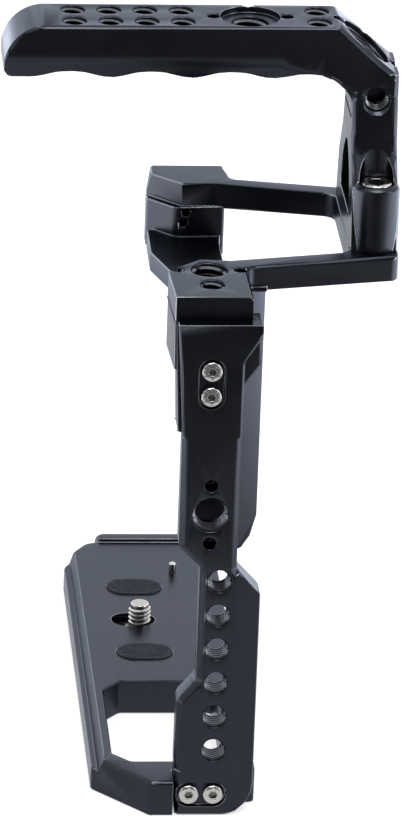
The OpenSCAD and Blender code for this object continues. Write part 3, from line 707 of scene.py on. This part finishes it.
# How far below the top of the head a face has to be to lie in the socket and get the painted shade
SOCKET_FROM = 0.08
for node, (axis, head, width, reach) in {
    "upper_side_screw_top": SIDE_SCREW, "upper_side_screw_bottom": SIDE_SCREW,
    "lower_side_screw_left": SIDE_SCREW, "lower_side_screw_right": SIDE_SCREW,
    "handle_bolt_near": HANDLE_BOLT, "handle_bolt_far": HANDLE_BOLT,
}.items():
    piece = merged_copy(node)
    soften(piece, width, angle=55)
    piece.data.materials.append(STEEL)
    if "bolt" in node:
        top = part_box(node)[1].z / MM
        join(piece, knurl(middle(node), KNURL_RADIUS, top - KNURL_LOW, top - KNURL_HIGH, KNURLS))
    lathe_map(piece, middle(node), axis)
    stand_for(piece, node, STEEL, SOCKET_PAINTED_SHADE)
    along = Vector(axis)
    top = max(vertex.co.dot(along) * head for vertex in piece.data.vertices)
    for face in piece.data.polygons:
        arm = face.center - middle(node)
        arm -= along * arm.dot(along)
        below = top - face.center.dot(along) * head
        # Faces down in the socket get the darker steel, which is painted shade
        if arm.length < reach * MM and below > SOCKET_FROM * MM:
            face.material_index = 1


# Where the camera screw's thread starts, how far below that its CAD shank is cut, how far the
# core reaches into the neck, how long its dog point is, and the core's radius
THREAD_START = 7.92
CUT_BELOW = 0.02
CORE_INSIDE = 0.3
DOG_POINT = 1.0
CORE_RADIUS = 2.64


def camera_screw():
    """The CAD screw's head and neck, with a cut thread and a dog point on them."""
    centre = middle("camera_screw")
    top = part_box("camera_screw")[1].z / MM
    piece = merged_copy("camera_screw")
    cut_above(piece, (0, 0, (THREAD_START - CUT_BELOW) * MM), (0, 0, 1))
    soften(piece, 0.2, angle=55)
    length = top - THREAD_START + CORE_INSIDE
    core = primitive(bpy.ops.mesh.primitive_cylinder_add, vertices=64, radius=CORE_RADIUS * MM,
                     depth=length * MM, location=(centre.x, centre.y, (top - length / 2) * MM))
    settle(core)
    soften(core, 0.55, angle=55, segments=3)
    ridge = helix(length=top - DOG_POINT - THREAD_START, root=QUARTER["inner"], **QUARTER)
    ridge.location = (centre.x, centre.y, (top - DOG_POINT) * MM)
    settle(ridge)
    shade(ridge)
    join(piece, [core, ridge])
    lathe_map(piece, centre, (0, 0, 1))
    stand_for(piece, "camera_screw", STEEL)


camera_screw()

for node, finish in (("camera_screw_clip", CLIP), ("locating_pin", STEEL)):
    piece = merged_copy(node)
    soften(piece, 0.1, angle=40)
    lathe_map(piece, middle(node), (0, 0, 1))
    stand_for(piece, node, finish)


# ---- Pads ---------------------------------------------------------------------------
# A lozenge's pitch in X and Y, its share of that, its height, and how far its middle lies
# above the pad
LOZENGE = (1.5, 0.95)
LOZENGE_SHARE = 0.94
LOZENGE_HEIGHT = 0.2
LOZENGE_RISE = 0.06
# How far the lozenges' middles stay from the pad's rim
PAD_RIM = 0.95


def pad(node):
    """A rubber pad with a rounded rim and rows of low raised lozenges."""
    low, high = (Vector(corner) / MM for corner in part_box(node))
    piece = merged_copy(node)
    soften(piece, 0.35, angle=50, segments=3)
    stud = primitive(bpy.ops.mesh.primitive_cone_add, vertices=4, radius1=0.5, radius2=0.28,
                     depth=LOZENGE_HEIGHT)
    stud.scale = (LOZENGE[0] * LOZENGE_SHARE * MM, LOZENGE[1] * LOZENGE_SHARE * MM, MM)
    settle(stud)
    half = (high - low) / 2
    centre = (high + low) / 2
    straight = half.x - half.y
    studs = []
    for row in range(-12, 13):
        for column in range(-12, 13):
            if (row + column) % 2:
                continue
            x, y = column * LOZENGE[0] / 2, row * LOZENGE[1] / 2
            if np.hypot(max(abs(x) - straight, 0), y) > half.y - PAD_RIM:
                continue
            copy = own_copy(stud)
            copy.location = Vector((centre.x + x, centre.y + y, high.z + LOZENGE_RISE)) * MM
            settle(copy)
            studs.append(copy)
    bpy.data.objects.remove(stud)
    join(piece, studs)
    stand_for(piece, node, RUBBER)


pad("pad_near")
pad("pad_far")


# ---- Floor and light ----------------------------------------------------------------
FLOOR_SIZE = 6.0
FLOOR_DROP = 0.0002
# What reflections see of the floor: its strength from front to back, and times what to
# either side, over these places in metres
FLOOR_Y, FLOOR_FRONT_TO_BACK = (-0.36, -0.20), (0.17, 0.85)
FLOOR_X, FLOOR_TO_SIDES = (0.15, 0.40), (1.0, 4.5)
# The light added to what the camera sees of the floor
FLOOR_LIFT = 0.6
# The world's strength for light, for the camera, and for reflections by their direction in Y
WORLD_LIGHT, WORLD_SEEN = 0.5, 1.0
FRONT_Y, FRONT = (-0.75, -0.35), (0.15, 1.0)
BEHIND_Y, BEHIND = (0.0, 0.6), (0.0, 0.25)


def mix_shader(tree, factor, first, second):
    mixed = tree.nodes.new("ShaderNodeMixShader")
    tree.links.new(factor, mixed.inputs[0])
    tree.links.new(first, mixed.inputs[1])
    tree.links.new(second, mixed.inputs[2])
    return mixed.outputs[0]


def add_floor():
    """A white table: white to the camera but for the shadow, dim to reflections in front."""
    floor = primitive(bpy.ops.mesh.primitive_plane_add, size=FLOOR_SIZE,
                      location=(0, 0, -FLOOR_DROP))
    floor.name = "floor"
    settle(floor)
    mat, tree, shader = new_finish("white_floor", 0.9)
    n, link = tree.nodes, tree.links.new
    shader.inputs["Base Color"].default_value = (0.8, 0.8, 0.8, 1)
    path = n.new("ShaderNodeLightPath")
    place = n.new("ShaderNodeTexCoord")
    split = n.new("ShaderNodeSeparateXYZ")
    link(place.outputs["Object"], split.inputs[0])
    fall = ramp(tree, split.outputs["Y"], FLOOR_Y, FLOOR_FRONT_TO_BACK, smooth=True)
    away = calculated(tree, "ABSOLUTE", split.outputs["X"])
    sides = ramp(tree, away, FLOOR_X, FLOOR_TO_SIDES, smooth=True)
    dim = n.new("ShaderNodeEmission")
    both = calculated(tree, "MULTIPLY", fall.outputs["Result"], sides.outputs["Result"])
    link(both, dim.inputs["Strength"])
    lift = n.new("ShaderNodeEmission")
    lift.inputs["Strength"].default_value = FLOOR_LIFT
    bright = n.new("ShaderNodeAddShader")
    link(shader.outputs[0], bright.inputs[0])
    link(lift.outputs[0], bright.inputs[1])
    glossy = mix_shader(tree, path.outputs["Is Glossy Ray"], shader.outputs[0], dim.outputs[0])
    seen = mix_shader(tree, path.outputs["Is Camera Ray"], glossy, bright.outputs[0])
    link(seen, n["Material Output"].inputs["Surface"])
    floor.data.materials.append(mat)


def add_world():
    """White to the camera, half as strong as light, and dim in front to reflections."""
    world = bpy.data.worlds.new("studio")
    bpy.context.scene.world = world
    world.use_nodes = True
    tree = world.node_tree
    n, link = tree.nodes, tree.links.new
    back = n["Background"]
    back.inputs["Color"].default_value = (1, 1, 1, 1)
    path = n.new("ShaderNodeLightPath")
    clear = calculated(tree, "ADD", path.outputs["Is Camera Ray"],
                       path.outputs["Is Transmission Ray"], clamp=True)
    level = ramp(tree, clear, to_range=(WORLD_LIGHT, WORLD_SEEN))
    place = n.new("ShaderNodeTexCoord")
    split = n.new("ShaderNodeSeparateXYZ")
    link(place.outputs["Generated"], split.inputs[0])
    front = ramp(tree, split.outputs["Y"], FRONT_Y, FRONT, smooth=True)
    behind = ramp(tree, split.outputs["Y"], BEHIND_Y, BEHIND)
    mirrored = calculated(tree, "ADD", front.outputs["Result"], behind.outputs["Result"])
    chosen = n.new("ShaderNodeMix")
    link(path.outputs["Is Glossy Ray"], chosen.inputs["Factor"])
    link(level.outputs["Result"], chosen.inputs["A"])
    link(mirrored, chosen.inputs["B"])
    link(chosen.outputs["Result"], back.inputs["Strength"])


def add_lamp(name, place, aim, size, power):
    data = bpy.data.lights.new(name, "AREA")
    data.shape = "RECTANGLE"
    data.size, data.size_y = size
    data.energy = power
    lamp = bpy.data.objects.new(name, data)
    bpy.context.scene.collection.objects.link(lamp)
    lamp.location = place
    lamp.rotation_euler = (Vector(aim) - Vector(place)).to_track_quat("-Z", "Y").to_euler()


LAMP_AIM = (0, 0, 0.1)
add_floor()
add_world()
add_lamp("lamp_above", place=(0.05, -0.5, 1.25), aim=LAMP_AIM, size=(0.7, 0.6), power=9)
add_lamp("lamp_right", place=(1.2, -0.5, 0.5), aim=LAMP_AIM, size=(0.5, 0.9), power=4)
bpy.context.scene.view_settings.view_transform = "Standard"
